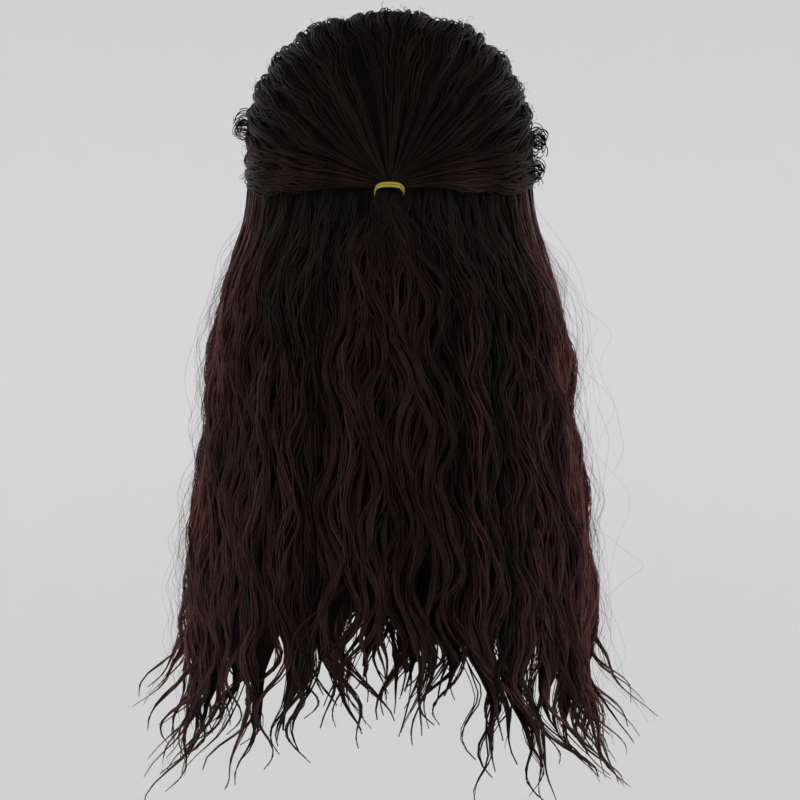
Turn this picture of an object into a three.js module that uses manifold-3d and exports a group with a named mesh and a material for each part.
// A long wavy wig, tied half up at the back of the head, as worn.
// Units are millimetres and +Z is up. The face opening looks along -Y, and +X is the wearer's left.
// The origin is the point inside the cap that sits on the very top of the head.
// Angles called `at` are degrees round the head from the back centre, positive towards the wearer's left.

import * as THREE from "three";
import { mergeVertices } from "three/addons/utils/BufferGeometryUtils.js";
import Module from "manifold-3d";

const wasm = await Module();
wasm.setup();

// Driving dimensions of the head and the cap
const headWidth = 152;
const headLength = 192;
const crownHeight = 95; // top of the head down to its widest level
const napeDrop = 165; // top of the head down to the edge of the cap at the nape
const napeTaper = 0.2; // share of its width that the head loses from the widest level to the nape
const capWall = 2;
const clearance = 0.45; // gap between neighbouring pieces
const slack = 0.15; // how far a facet may move when the facets of a cut piece are merged

// Driving dimensions of the hair that is swept back over the crown
const topLift = 22;
const topWidth = 232;
const topDepth = 242;
const topSquareness = 2.4; // 2 is an ellipse, and more is boxier
const ridgeDepth = 4; // height of the combed locks on the swept hair
const hairlineSetback = 5; // how far the hair starts inside the cap's front edge
const hairlineRise = 7; // thickness of the swept hair at the hairline
const crownReach = 41; // degrees each side of the forehead that the crown sweep covers
const templeReach = 59; // degrees each side of the forehead where the temple sweeps end

// Driving dimensions of the rubber band and of the hair that it gathers
const tieBore = 18;
const tieWall = 2.2;
const tieWidth = 4.4;
const tieTurns = 2; // windings of the band, side by side
const tieTilt = 32; // degrees by which the gathered hair leans outwards where it leaves the band
const tieDrop = 131; // top of the head down to the middle of the band
const tieStandOff = 16; // cap to the middle of the band
const tailLength = 412;
const tailSpread = 84;
const tailThickness = 20;
const tailRise = 23; // how far the tail hangs outside the middle of the loose hair

// Driving dimensions of the loose lengths
const hairLength = 474; // parting to the longest tips
const hemWidth = 300; // left to right, over the middles of the outermost locks near the tips
const hemDepth = 224; // front to back of the same oval
const lockWidth = 32;
const lockThickness = 32;
const waveLength = 98;
const waveHeight = 5.5; // how far a wave swings to each side of the middle of its lock

// Driving dimensions of the stray curls over the ears
const curlRadius = 8;
const curlThickness = 6;

const radians = THREE.MathUtils.degToRad;
const smooth = THREE.MathUtils.smoothstep;
const mix = THREE.MathUtils.lerp;
const clearOfCap = capWall + clearance;
const FALL_BELOW = 45; // degrees of `fall` given to the part of the head below its widest level

// Where the edge of the cap runs: its drop as a share of napeDrop, the same on both sides
const capEdge = [
  { at: 0, drop: 1.0 },
  { at: 28, drop: 0.975 },
  { at: 55, drop: 0.86 },
  { at: 78, drop: 0.74 },
  { at: 95, drop: 0.73 },
  { at: 108, drop: 0.755 },
  { at: 118, drop: 0.64 },
  { at: 135, drop: 0.42 },
  { at: 158, drop: 0.31 },
  { at: 180, drop: 0.29 },
];

// The oval that the loose locks hang in. `down` is a share of hairLength, and `wide` and `deep` are
// shares of hemWidth and hemDepth.
const hangOval = [
  { down: -0.05, wide: 0.64, deep: 0.79 },
  { down: 0.02, wide: 0.69, deep: 0.8 },
  { down: 0.17, wide: 0.78, deep: 0.9 },
  { down: 0.3, wide: 0.85, deep: 0.96 },
  { down: 0.42, wide: 0.88, deep: 0.99 },
  { down: 0.61, wide: 0.97, deep: 1.02 },
  { down: 0.75, wide: 1.0, deep: 1.03 },
  { down: 0.9, wide: 0.98, deep: 1.0 },
  { down: 1.0, wide: 0.99, deep: 0.98 },
];

// How a lock fills out from its root to its tip. `thick` is a share of its full thickness, `taper` the
// share of its full width, and `along` a share of the lock's own length.
const lockForm = [
  { along: 0.0, taper: 0.7, thick: 0.8 },
  { along: 0.25, taper: 0.86, thick: 1.0 },
  { along: 0.5, taper: 1.0, thick: 1.0 },
  { along: 0.72, taper: 1.0, thick: 0.85 },
  { along: 0.88, taper: 0.62, thick: 0.5 },
  { along: 1.0, taper: 0.08, thick: 0.08 },
];

// How thick the loose hair stands off the cap where it comes out of the parting.
const rootForm = [
  { at: 0, thick: 5 },
  { at: 12, thick: 6 },
  { at: 40, thick: 17 },
  { at: 72, thick: 30 },
  { at: 92, thick: 35 },
  { at: 104, thick: 22 },
  { at: 118, thick: 10 },
];

// One row for each loose lock, from the wearer's right round the back to the left. `reach` is a share
// of hairLength, `kick` is how far the tip flicks outwards and `drift` how far it trails to the wearer's
// left, both as shares of lockWidth, and `phase` is where its wave starts, in turns.
const panels = [
  {
    name: "side_hair_right",
    locks: [
      { at: -112, reach: 0.9, kick: 0.1, drift: 0.2, phase: 0.1 },
      { at: -100, reach: 0.95, kick: 0.9, drift: 0.0, phase: 0.35 },
      { at: -88, reach: 0.93, kick: 1.75, drift: -0.2, phase: 0.55 },
      { at: -76, reach: 0.985, kick: 0.9, drift: -0.5, phase: 0.8 },
    ],
  },
  {
    name: "back_hair_right",
    locks: [
      { at: -64, reach: 1.0, kick: 0.4, drift: -0.5, phase: 0.05 },
      { at: -52, reach: 0.96, kick: 0.5, drift: -0.7, phase: 0.3 },
      { at: -40, reach: 0.985, kick: 0.3, drift: -0.4, phase: 0.62 },
      { at: -28, reach: 0.93, kick: 0.1, drift: -0.2, phase: 0.9 },
    ],
  },
  {
    name: "back_hair_centre",
    locks: [
      { at: -17, reach: 0.88, kick: 0, drift: 0.2, phase: 0.15, sunk: 0.3 },
      { at: -6, reach: 0.84, kick: 0, drift: 0.1, phase: 0.35, sunk: 0.3 },
      { at: 6, reach: 0.83, kick: 0, drift: -0.1, phase: 0.55, sunk: 0.3 },
      { at: 17, reach: 0.88, kick: 0, drift: -0.2, phase: 0.75, sunk: 0.3 },
    ],
  },
  {
    name: "back_hair_left",
    locks: [
      { at: 28, reach: 0.94, kick: 0.3, drift: 0.3, phase: 0.2 },
      { at: 40, reach: 0.95, kick: 0.4, drift: 0.4, phase: 0.5 },
      { at: 52, reach: 0.93, kick: 0.5, drift: 0.6, phase: 0.78 },
      { at: 64, reach: 0.97, kick: 0.6, drift: 0.5, phase: 0.02 },
    ],
  },
  {
    name: "side_hair_left",
    locks: [
      { at: 76, reach: 1.0, kick: 0.8, drift: 0.3, phase: 0.3 },
      { at: 88, reach: 0.88, kick: 1.5, drift: 0.1, phase: 0.6 },
      { at: 100, reach: 0.94, kick: 0.8, drift: 0.0, phase: 0.85 },
      { at: 112, reach: 0.9, kick: 0.1, drift: -0.2, phase: 0.1 },
    ],
  },
];

// The gathered tail. `side` is a share of tailSpread at the tip, and `reach` a share of tailLength.
const tailLocks = [
  { side: -0.42, reach: 0.9, phase: 0.0 },
  { side: -0.14, reach: 1.0, phase: 0.3 },
  { side: 0.15, reach: 0.96, phase: 0.62 },
  { side: 0.43, reach: 0.86, phase: 0.9 },
];

// The stray curls. `fall` is degrees from the top of the head, and `size` a share of curlRadius.
const strayCurls = [
  { name: "stray_curl_right_upper", at: -84, fall: 86, size: 1.0 },
  { name: "stray_curl_right_lower", at: -80, fall: 97, size: 0.85 },
  { name: "stray_curl_left", at: 83, fall: 81, size: 1.05 },
];

const hairDark = new THREE.MeshStandardMaterial({ color: 0x1b1413, roughness: 0.45, metalness: 0 });
const hairBrown = new THREE.MeshStandardMaterial({ color: 0x2e1b19, roughness: 0.45, metalness: 0 });
const capCloth = new THREE.MeshStandardMaterial({ color: 0x1c1615, roughness: 0.9, metalness: 0 });
const rubber = new THREE.MeshStandardMaterial({ color: 0xc0ae3a, roughness: 0.4, metalness: 0 });

// Reads the columns of a table between its rows, in a straight line.
function readTable(rows, key, value) {
  const last = rows.length - 1;
  const here = THREE.MathUtils.clamp(value, rows[0][key], rows[last][key]);
  const after = Math.max(1, rows.findIndex((row) => row[key] >= here));
  const [a, b] = [rows[after - 1], rows[after]];
  const share = (here - a[key]) / (b[key] - a[key]);
  return Object.fromEntries(Object.keys(a).map((column) => [column, mix(a[column], b[column], share)]));
}

// A point on the head, grown outwards by `grow`. `fall` is degrees from the top of the head; 90 is its
// widest level and 90 + FALL_BELOW the nape.
function headPoint(at, fall, grow) {
  const below = Math.max(0, (fall - 90) / FALL_BELOW);
  const share = below ? 1 - napeTaper * below * below : Math.sin(radians(fall));
  const rise = below ? -below * (napeDrop - crownHeight) : (crownHeight + grow) * Math.cos(radians(fall));
  const turn = radians(at);
  return new THREE.Vector3(
    Math.sin(turn) * (headWidth / 2 + grow) * share,
    Math.cos(turn) * (headLength / 2 + grow) * share,
    rise - crownHeight,
  );
}

// A point on the outside of the swept hair, a boxier and larger dome over the same head.
function sweptPoint(at, fall, lift) {
  const power = 2 / topSquareness;
  const below = Math.max(0, (fall - 90) / FALL_BELOW);
  const share = below ? 1 : Math.sin(radians(fall)) ** power;
  const height = crownHeight + topLift + lift;
  const rise = below ? -below * (napeDrop - crownHeight) : height * Math.cos(radians(fall)) ** power;
  const turn = radians(at);
  return new THREE.Vector3(
    Math.sin(turn) * (topWidth / 2 + lift) * share,
    Math.cos(turn) * (topDepth / 2 + lift) * share,
    rise - crownHeight,
  );
}

// How far round from the top of the head a given drop lies, in degrees.
function fallOf(drop) {
  if (drop <= crownHeight) return THREE.MathUtils.radToDeg(Math.acos(1 - drop / crownHeight));
  return 90 + (FALL_BELOW * (drop - crownHeight)) / (napeDrop - crownHeight);
}

// The cap's edge in degrees of `fall`, or a line that runs `lower` mm below it.
const edgeFall = (at, lower = 0) => fallOf(readTable(capEdge, "at", Math.abs(at)).drop * napeDrop + lower);

// A closed form from points and triangles, as a manifold-3d solid. Points nearer than WELD become one.
const WELD = 1e-3;
function solidFrom(points, faces) {
  const geometry = new THREE.BufferGeometry().setFromPoints(points);
  geometry.setIndex(faces);
  const merged = mergeVertices(geometry, WELD);
  const vertProperties = merged.attributes.position.array;
  const triVerts = new Uint32Array(merged.index.array);
  return new wasm.Manifold(new wasm.Mesh({ numProp: 3, vertProperties, triVerts }));
}

function solidOf(geometry) {
  const positions = geometry.attributes.position;
  const points = Array.from({ length: positions.count }, (_, i) =>
    new THREE.Vector3().fromBufferAttribute(positions, i),
  );
  const faces = geometry.index ? Array.from(geometry.index.array) : points.map((_, i) => i);
  return solidFrom(points, faces);
}

// A closed wall between two grids of points that match, row by row.
function wallBetween(outer, inner) {
  const rows = outer.length;
  const columns = outer[0].length;
  const points = [...outer.flat(), ...inner.flat()];
  const front = (r, c) => r * columns + c;
  const back = (r, c) => rows * columns + r * columns + c;
  const faces = [];
  const quad = (a, b, c, d) => faces.push(a, c, b, a, d, c);
  for (let r = 0; r < rows - 1; r++) {
    for (let c = 0; c < columns - 1; c++) {
      quad(front(r, c), front(r, c + 1), front(r + 1, c + 1), front(r + 1, c));
      quad(back(r, c), back(r + 1, c), back(r + 1, c + 1), back(r, c + 1));
    }
    quad(front(r, 0), front(r + 1, 0), back(r + 1, 0), back(r, 0));
    quad(back(r, columns - 1), back(r + 1, columns - 1), front(r + 1, columns - 1), front(r, columns - 1));
  }
  for (let c = 0; c < columns - 1; c++) {
    quad(front(0, c), back(0, c), back(0, c + 1), front(0, c + 1));
    quad(back(rows - 1, c), front(rows - 1, c), front(rows - 1, c + 1), back(rows - 1, c + 1));
  }
  return solidFrom(points, faces);
}

// A closed tube through rings of points, with a flat end at each ring's middle.
function tubeThrough(rings) {
  const sides = rings[0].length;
  const middle = (ring) => ring.reduce((sum, p) => sum.add(p), new THREE.Vector3()).divideScalar(sides);
  const points = [...rings.flat(), middle(rings[0]), middle(rings.at(-1))];
  const [first, last] = [points.length - 2, points.length - 1];
  const end = (rings.length - 1) * sides;
  const faces = [];
  for (let k = 0; k < sides; k++) {
    const next = (k + 1) % sides;
    for (let r = 0; r < rings.length - 1; r++) {
      const [a, b] = [r * sides + k, r * sides + next];
      faces.push(a, b + sides, b, a, a + sides, b + sides);
    }
    faces.push(first, k, next, last, end + next, end + k);
  }
  return solidFrom(points, faces);
}

// One ring of a lock: an oval round `middle`, `wide` along `across` and `thick` along `out`.
function ovalRing(middle, across, out, wide, thick, sides) {
  return Array.from({ length: sides }, (_, k) => {
    const turn = (2 * Math.PI * k) / sides;
    return middle
      .clone()
      .addScaledVector(across, (Math.cos(turn) * wide) / 2)
      .addScaledVector(out, (Math.sin(turn) * thick) / 2);
  });
}

const joined = (solids) => solids.reduce((sum, s) => sum.add(s));
const without = (solid, cutters) => cutters.reduce((rest, c) => rest.subtract(c), solid);

function geometryOf(solid) {
  const made = solid.getMesh();
  const geometry = new THREE.BufferGeometry();
  geometry.setAttribute("position", new THREE.BufferAttribute(made.vertProperties, 3));
  geometry.setIndex(new THREE.BufferAttribute(made.triVerts, 1));
  return geometry;
}

// What is left of a cut piece is its largest body, without the crumbs and bubbles that a cut can leave.
const mainBody = (solid) => {
  const bodies = solidOf(geometryOf(solid.simplify(slack))).decompose();
  return bodies.reduce((a, b) => (b.volume() > a.volume() ? b : a));
};

function meshOf(name, solid, material) {
  const geometry = geometryOf(solid);
  geometry.computeVertexNormals();
  const mesh = new THREE.Mesh(geometry, material);
  mesh.name = name;
  return mesh;
}

// A dome over the head, grown by `grow`, whose edge runs `lower` mm below the cap's own.
const CAP_COLUMNS = 28;
const CAP_ROWS = 7;
function domeGrid(grow, lower) {
  return Array.from({ length: CAP_ROWS }, (_, r) =>
    Array.from({ length: CAP_COLUMNS }, (_, c) => {
      const at = (360 * c) / CAP_COLUMNS - 180;
      return headPoint(at, (edgeFall(at, lower) * (r + 1)) / CAP_ROWS, grow);
    }),
  );
}

// Triangles of a dome grid that starts at point `start`, from its apex down, facing out or in.
function domeFaces(start, apex, inwards) {
  const faces = [];
  const push = (a, b, c) => faces.push(...(inwards ? [a, c, b] : [a, b, c]));
  for (let c = 0; c < CAP_COLUMNS; c++) {
    const next = (c + 1) % CAP_COLUMNS;
    push(apex, start + next, start + c);
    for (let r = 0; r < CAP_ROWS - 1; r++) {
      const [a, b] = [start + r * CAP_COLUMNS + c, start + r * CAP_COLUMNS + next];
      push(a, b, b + CAP_COLUMNS);
      push(a, b + CAP_COLUMNS, a + CAP_COLUMNS);
    }
  }
  return faces;
}

function makeCap() {
  const outer = domeGrid(capWall, 0).flat();
  const inner = domeGrid(0, 0).flat();
  const count = outer.length;
  const points = [...outer, ...inner, headPoint(0, 0, capWall), headPoint(0, 0, 0)];
  const faces = [...domeFaces(0, 2 * count, false), ...domeFaces(count, 2 * count + 1, true)];
  const rim = count - CAP_COLUMNS;
  for (let c = 0; c < CAP_COLUMNS; c++) {
    const next = (c + 1) % CAP_COLUMNS;
    const [a, b] = [rim + c, rim + next];
    faces.push(a, b, b + count, a, b + count, a + count);
  }
  return solidFrom(points, faces);
}

// The room that the head and the cap take, which every piece of hair is cut back from.
function makeHeadRoom() {
  const skin = domeGrid(clearOfCap, clearance).flat();
  const points = [...skin, headPoint(0, 0, clearOfCap), new THREE.Vector3(0, 0, -napeDrop - clearance)];
  const faces = domeFaces(0, skin.length, false);
  const rim = skin.length - CAP_COLUMNS;
  for (let c = 0; c < CAP_COLUMNS; c++) {
    const next = (c + 1) % CAP_COLUMNS;
    faces.push(skin.length + 1, rim + c, rim + next);
  }
  return solidFrom(points, faces);
}

// The band's middle, the way the gathered hair runs through it, and the way out from the head.
const flow = new THREE.Vector3(0, Math.sin(radians(tieTilt)), -Math.cos(radians(tieTilt)));
const outwards = new THREE.Vector3(0, Math.cos(radians(tieTilt)), Math.sin(radians(tieTilt)));
const sideways = new THREE.Vector3(1, 0, 0);
const tieFall = fallOf(tieDrop);
const meetFall = fallOf(tieDrop - 2 * tieWidth); // where the swept hair leaves the head for the band
const tieMiddle = headPoint(0, tieFall, capWall + tieStandOff);
const gatherRadius = tieBore / 2 - clearance;
const gatherStart = tieWidth / 2 + 2 * clearance; // where the swept hair ends, above the band's middle

// A point in the gathered bundle, `angle` degrees from the wearer's left towards the outside.
function bundlePoint(angle, radius, back) {
  return tieMiddle
    .clone()
    .addScaledVector(flow, -back)
    .addScaledVector(sideways, radius * Math.cos(radians(angle)))
    .addScaledVector(outwards, radius * Math.sin(radians(angle)));
}

function direction(at, fall) {
  const [turn, down] = [radians(at), radians(fall)];
  return new THREE.Vector3(Math.sin(turn) * Math.sin(down), Math.cos(turn) * Math.sin(down), Math.cos(down));
}

// The way that hair takes from the hairline, `from` degrees off the forehead, to the tie: the shortest
// way over the head. Returns `at` and `fall` at a share `along` of it.
function combedWay(from, along) {
  const at = 180 - from;
  const setback = THREE.MathUtils.radToDeg(hairlineSetback / crownHeight);
  const start = direction(at, edgeFall(at > 180 ? at - 360 : at) - setback);
  const end = direction(0, meetFall);
  const whole = start.angleTo(end);
  const here = start
    .multiplyScalar(Math.sin((1 - along) * whole))
    .addScaledVector(end, Math.sin(along * whole))
    .divideScalar(Math.sin(whole));
  const fall = THREE.MathUtils.radToDeg(Math.acos(THREE.MathUtils.clamp(here.z, -1, 1)));
  return { at: THREE.MathUtils.radToDeg(Math.atan2(here.x, here.y)), fall };
}

// One swept section, from `low` to `high` degrees off the forehead, whose end fills the bundle between
// two angles. A spare section, `spare` mm larger all round, is the room that its neighbours keep off.
const SWEEP_STEPS = 10;
const GATHER_SHARE = 0.8; // share of its way after which a section draws in to the bundle
const SUNK = 4; // how far the raw section reaches into the head before it is cut back from it
function makeSweep({ low, high, ridges, bundle, columns }, spare = 0) {
  const outer = [];
  const inner = [];
  for (let r = 0; r <= SWEEP_STEPS; r++) {
    const along = r / SWEEP_STEPS;
    const gather = smooth(along, GATHER_SHARE, 1);
    const fill = mix(0, 1, smooth(along, -0.02, 0.32));
    const outRow = [];
    const inRow = [];
    for (let c = 0; c <= columns; c++) {
      const across = c / columns;
      const { at, fall } = combedWay(mix(low, high, across), along);
      const skin = headPoint(at, fall, clearOfCap);
      const root = headPoint(at, fall, clearOfCap + hairlineRise);
      const ridge = ridgeDepth * (Math.abs(Math.sin(Math.PI * ridges * across)) - 1);
      const top = root.lerp(sweptPoint(at, fall, ridge), fill);
      const angle = mix(bundle[0], bundle[1], across);
      const endTop = bundlePoint(angle, gatherRadius, gatherStart);
      const endRoot = bundlePoint(angle, gatherRadius / 2, gatherStart);
      const out = top.clone().sub(skin).normalize();
      outRow.push(top.addScaledVector(out, spare).lerp(endTop, gather));
      inRow.push(skin.addScaledVector(out, -SUNK - spare).lerp(endRoot, gather));
    }
    for (const row of [outRow, inRow]) widen(row, spare);
    outer.push(outRow);
    inner.push(inRow);
  }
  return wallBetween(outer, inner);
}

// Moves the two ends of a row of points outwards along it by `spare`.
function widen(row, spare) {
  const shift = (end, next) => end.addScaledVector(end.clone().sub(next).normalize(), spare);
  shift(row[0], row[1]);
  shift(row.at(-1), row.at(-2));
}

const crown = { low: crownReach, high: -crownReach, ridges: 9, bundle: [38, 142], columns: 18 };
const templeLeft = { low: templeReach, high: crownReach, ridges: 3, bundle: [-66, 28], columns: 6 };
const templeRight = { low: -crownReach, high: -templeReach, ridges: 3, bundle: [152, 246], columns: 6 };

// The rubber band, with its windings side by side, as a lathe ring turned to its tilt.
function makeTie(spare = 0) {
  const turns = spare ? 1 : tieTurns;
  const pitch = tieWidth / turns;
  const [bore, rim] = [tieBore / 2 - spare, tieBore / 2 + tieWall + spare];
  const profile = [new THREE.Vector2(bore, tieWidth / 2 + spare), new THREE.Vector2(bore, -tieWidth / 2 - spare)];
  for (let turn = 0; turn < turns; turn++) {
    const low = -tieWidth / 2 + turn * pitch;
    const crease = turn ? 0.45 : 0.2; // share of the wall by which the band dips beside a winding
    profile.push(new THREE.Vector2(rim - (spare ? 0 : crease * tieWall), low - (turn ? 0 : spare)));
    if (!spare) profile.push(new THREE.Vector2(rim, low + pitch / 3), new THREE.Vector2(rim, low + (2 * pitch) / 3));
  }
  profile.push(new THREE.Vector2(rim - (spare ? 0 : 0.2 * tieWall), tieWidth / 2 + spare));
  profile.push(profile[0].clone());
  const ring = new THREE.LatheGeometry(profile, 20);
  return placedOnTie(ring);
}

// A lathe form stands along Y; this lays its axis along the way the gathered hair runs.
function placedOnTie(geometry) {
  const turned = new THREE.Matrix4().makeBasis(sideways, flow, outwards);
  turned.setPosition(tieMiddle);
  return solidOf(geometry.applyMatrix4(turned));
}

// The height of the parting, under the lowest edge of the swept hair, at an angle round the head.
const partingWay = Array.from({ length: 41 }, (_, k) => combedWay(templeReach, 1 - k / 40));
function partingHeight(at) {
  return headPoint(0, readTable(partingWay, "at", Math.abs(at)).fall, clearOfCap).z;
}

const partingDrop = -partingHeight(90);

// The middle of the oval that loose hair hangs in, at an angle and a height.
function hangPoint(at, height) {
  const { wide, deep } = readTable(hangOval, "down", (-height - partingDrop) / hairLength);
  const turn = radians(at);
  return new THREE.Vector3(
    (Math.sin(turn) * wide * hemWidth) / 2,
    (Math.cos(turn) * deep * hemDepth) / 2,
    height,
  );
}

// A comb of locks as one body. Neighbours share the line between them down to the row SPLIT_ROW, and
// below it each lock runs on alone to its own tip. `rows[lock][row]` holds the lock's middle, the ways
// across and out, its thickness and half its width. `before` and `after` are the rows of the locks that
// hang next to this comb, if any.
const LOCK_ROWS = 22;
const SPLIT_ROW = 16;
const VALLEY = 0.4; // thickness between two locks, as a share of their own
function combOf(rows, before, after, spare = 0) {
  const lineBetween = (a, b, shift) => ({
    middle: a.middle.clone().add(b.middle).divideScalar(2).addScaledVector(a.across, shift),
    out: a.out.clone().add(b.out).normalize(),
    thick: ((a.thick + b.thick) / 2) * VALLEY,
  });
  const freeLine = (a, sign) => ({
    middle: a.middle.clone().addScaledVector(a.across, sign * (a.half + spare)),
    out: a.out,
    thick: a.thick * VALLEY,
  });
  const ringOf = (lock, row) => {
    const own = rows[lock][row];
    const [left, right] = [rows[lock - 1] ?? before, rows[lock + 1] ?? after];
    const gap = (share) => share * (clearance / 2 - spare);
    const lines = [
      left ? lineBetween(own, left[row], rows[lock - 1] ? 0 : gap(1)) : freeLine(own, -1),
      right ? lineBetween(own, right[row], rows[lock + 1] ? 0 : gap(-1)) : freeLine(own, 1),
    ];
    if (row > SPLIT_ROW) for (const line of lines) line.middle.lerp(own.middle, 1 - own.taper);
    const [l, r] = lines;
    const at = ({ middle, out, thick }, sign) => middle.clone().addScaledVector(out, sign * (thick / 2 + spare));
    return [at(l, 1), at(own, 1), at(r, 1), at(r, -1), at(own, -1), at(l, -1)];
  };
  const points = [];
  const faces = [];
  const quad = (a, b, c, d) => faces.push(a, b, c, a, c, d);
  rows.forEach((_, lock) => {
    const start = points.length;
    for (let row = 0; row <= LOCK_ROWS; row++) points.push(...ringOf(lock, row));
    const index = (row, k) => start + 6 * row + (k % 6);
    for (let row = 0; row < LOCK_ROWS; row++) {
      for (let k = 0; k < 6; k++) {
        const shared = row < SPLIT_ROW && ((k === 2 && rows[lock + 1]) || (k === 5 && rows[lock - 1]));
        if (!shared) quad(index(row, k), index(row, k + 1), index(row + 1, k + 1), index(row + 1, k));
      }
    }
    for (const [row, turn] of [[0, 1], [LOCK_ROWS, 0]]) {
      const [a, b, c, d, e, f] = [0, 1, 2, 3, 4, 5].map((k) => index(row, k));
      if (turn) faces.push(a, f, e, a, e, b, b, e, d, b, d, c);
      else faces.push(a, e, f, a, b, e, b, d, e, b, c, d);
    }
  });
  return solidFrom(points, faces);
}

// The rows of a loose lock from the parting to its tip. Its top follows the slope of the parting. It
// waves from side to side and, a quarter turn later, in and out.
const ROOT_SHARE = 0.22; // share of its length over which a lock leaves the head for the hanging oval
const FLICK_SHARE = 0.84; // share of its length where a lock begins to flick
function lockRows({ at, reach, kick, drift, phase, sunk = 0 }) {
  const top = partingHeight(at) - clearance;
  const bottom = -partingDrop - reach * hairLength;
  const out = new THREE.Vector3(Math.sin(radians(at)), Math.cos(radians(at)), 0);
  const across = new THREE.Vector3(out.y, -out.x, 0);
  const rootThick = readTable(rootForm, "at", Math.abs(at)).thick;
  return Array.from({ length: LOCK_ROWS + 1 }, (_, row) => {
    const along = row / LOCK_ROWS;
    const height = mix(top, bottom, along);
    const { taper, thick } = readTable(lockForm, "along", along);
    const hung = smooth(along, 0, ROOT_SHARE);
    const root = headPoint(at, fallOf(-top), clearOfCap + clearance + rootThick / 2).setZ(height);
    const loose = smooth(along, 0.05, 0.35) * waveHeight;
    const turn = 2 * Math.PI * ((top - height) / waveLength + phase);
    const flick = smooth(along, FLICK_SHARE, 1.06) * lockWidth;
    const middle = root
      .lerp(hangPoint(at, height), hung)
      .addScaledVector(across, loose * Math.sin(turn))
      .addScaledVector(out, 0.6 * loose * Math.cos(turn) + kick * flick - (sunk * lockThickness) / 2)
      .addScaledVector(sideways, drift * flick);
    const full = thick * lockThickness * (1 - sunk);
    return { middle, across, out, taper, thick: mix(rootThick, full, hung), half: (taper * lockWidth) / 2 };
  });
}

// The gathered hair: a plug through the band, then a comb of locks that lean out and fall down the back.
function tailRows({ side, reach, phase }) {
  return Array.from({ length: LOCK_ROWS + 1 }, (_, row) => {
    const along = (row / LOCK_ROWS) ** 1.25; // shorter steps where the hair leaves the band
    const drop = along * reach * tailLength;
    const open = smooth(drop, 0, 90);
    const grown = smooth(drop, 2, 60);
    const { taper, thick } = readTable(lockForm, "along", along);
    const rest = hangPoint(0, tieMiddle.z - drop);
    rest.y += tailRise;
    const turn = 2 * Math.PI * (drop / waveLength + phase);
    const middle = tieMiddle
      .clone()
      .addScaledVector(flow, drop)
      .lerp(rest, smooth(drop, 3, 60))
      .addScaledVector(sideways, side * mix(1.5 * gatherRadius, tailSpread, 0.45 * open + 0.55 * along))
      .addScaledVector(sideways, open * waveHeight * Math.sin(turn));
    const out = outwards.clone().lerp(new THREE.Vector3(0, 1, 0), grown).normalize();
    return {
      middle,
      across: sideways,
      out,
      taper,
      thick: mix(1.1 * gatherRadius, thick * tailThickness, grown),
      half: mix(gatherRadius / 4, taper * tailSpread * 0.16, grown),
    };
  });
}

function makeTail(spare = 0) {
  const radius = gatherRadius + spare;
  const plug = new THREE.CylinderGeometry(radius, radius, tieWidth + 2 * spare, 12);
  return joined([placedOnTie(plug), combOf(tailLocks.map(tailRows), null, null, spare)]);
}

// A stray curl: a short coil whose root sits on the swept hair.
const CURL_STEPS = 10;
function makeCurl({ at, fall, size }) {
  const root = sweptPoint(at, fall, -ridgeDepth);
  const out = root.clone().setZ(0).normalize();
  const up = new THREE.Vector3(0, 0, 1);
  const along = new THREE.Vector3().crossVectors(up, out);
  const rings = [];
  for (let step = 0; step <= CURL_STEPS; step++) {
    const share = step / CURL_STEPS;
    const turn = radians(150 - 400 * share);
    const radius = curlRadius * size * (1 - 0.3 * share);
    const radial = out.clone().multiplyScalar(Math.cos(turn)).addScaledVector(up, Math.sin(turn));
    const middle = root
      .clone()
      .addScaledVector(out, curlRadius * size * 0.75)
      .addScaledVector(radial, radius)
      .addScaledVector(along, curlThickness * 1.6 * share);
    const thick = curlThickness * size * (1 - 0.6 * share);
    rings.push(ovalRing(middle, radial, along, thick, thick, 5));
  }
  return tubeThrough(rings);
}

// Each piece is cut back from its neighbours that were made before it, grown by the clearance.
const headRoom = makeHeadRoom();
const tieRoom = makeTie(clearance);
const crownSweep = mainBody(without(makeSweep(crown), [headRoom, tieRoom]));
const crownRoom = makeSweep(crown, clearance);
const sides = [templeRight, templeLeft];
const temples = sides.map((side) => mainBody(without(makeSweep(side), [headRoom, tieRoom, crownRoom])));
const templeRooms = sides.map((side) => makeSweep(side, clearance));
const tail = mainBody(without(makeTail(), [headRoom, tieRoom, ...templeRooms]));
const tailRoom = makeTail(clearance);

const wig = new THREE.Group();
wig.add(meshOf("wig_cap", makeCap(), capCloth));
wig.add(meshOf("crown_sweep", crownSweep, hairDark));
wig.add(meshOf("temple_sweep_right", temples[0], hairDark));
wig.add(meshOf("temple_sweep_left", temples[1], hairDark));
wig.add(meshOf("rubber_band", makeTie(), rubber));
wig.add(meshOf("gathered_tail", tail, hairDark));

const taken = [headRoom, tieRoom, tailRoom, crownRoom, ...templeRooms];
const hung = panels.map(({ locks }) => locks.map(lockRows));
panels.forEach(({ name }, i) => {
  const panel = combOf(hung[i], hung[i - 1]?.at(-1), hung[i + 1]?.[0]);
  wig.add(meshOf(name, mainBody(without(panel, taken)), hairBrown));
});

for (const curl of strayCurls) {
  const made = without(makeCurl(curl), [crownRoom, ...templeRooms]);
  wig.add(meshOf(curl.name, mainBody(made), hairDark));
}

export default wig;
